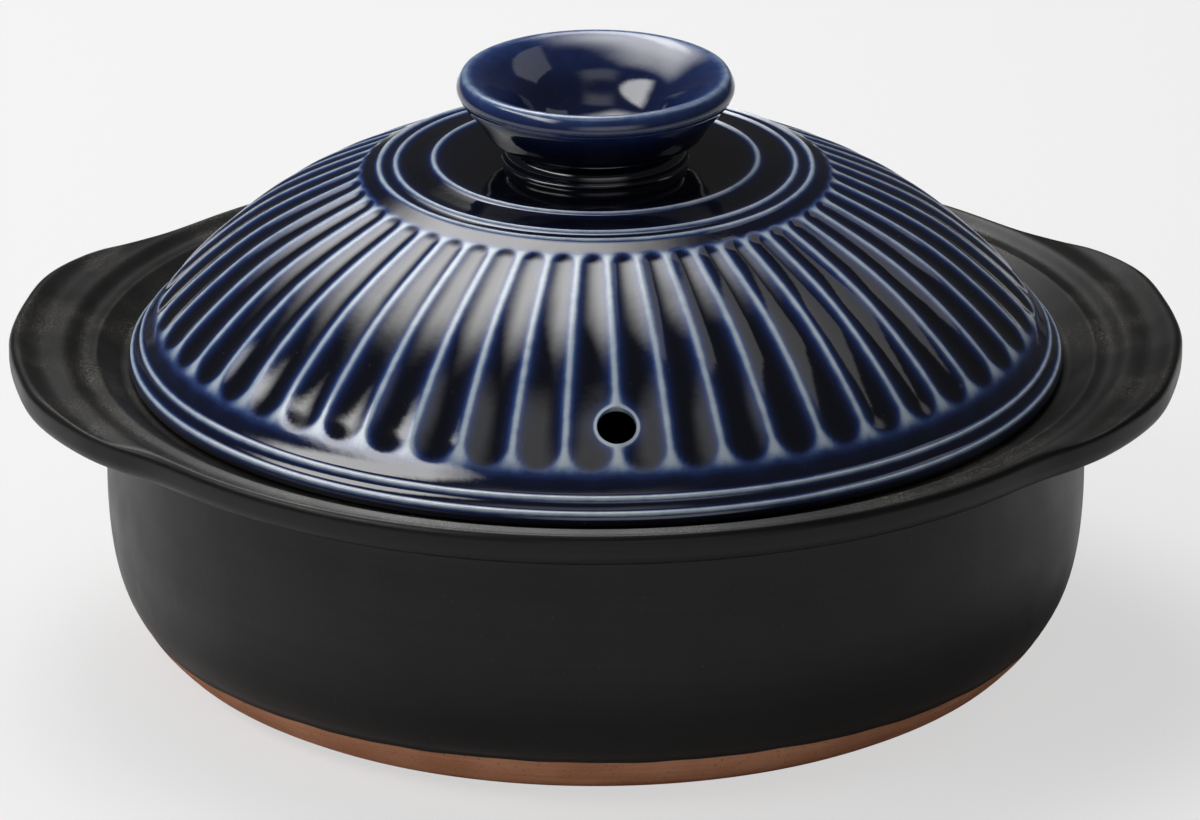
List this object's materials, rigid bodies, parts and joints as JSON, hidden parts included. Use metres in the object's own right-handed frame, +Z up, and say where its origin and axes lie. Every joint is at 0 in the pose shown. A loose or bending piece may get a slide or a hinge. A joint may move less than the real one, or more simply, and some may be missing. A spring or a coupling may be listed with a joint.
{
  "type": "donabe clay pot",
  "caption": "Shallow round clay pot with two broad ears, a bare clay foot and a fluted domed lid with a steam hole and a trumpet knob.",
  "frame": {"origin": "centre of the base, on the surface that the pot stands on", "axes": "+Z up, the pot's and the lid's axis of turning; +X and -X through the two ears; -Y is the front, which the steam hole faces"},
  "size_m": [0.3248, 0.2974, 0.166],
  "materials": {
    "black_glaze": "satin black glaze with a faint dusty speckle on its upper surfaces",
    "blue_glaze": "glossy cobalt glaze, nearly black where it pools and pale blue-white where it thins over ridges",
    "bare_clay": "matte unglazed terracotta"
  },
  "bodies": {
    "pot": {"pot_bowl": "black_glaze", "bare_foot": "bare_clay", "left_ear": "black_glaze", "right_ear": "black_glaze"},
    "lid": {"lid_dome": "blue_glaze", "lid_knob": "blue_glaze"}
  },
  "joints": [
    {"name": "lid_lift", "type": "slide", "parent": "pot", "child": "lid", "axis": [0, 0, 1], "range_m": [0, 0.12]}
  ]
}
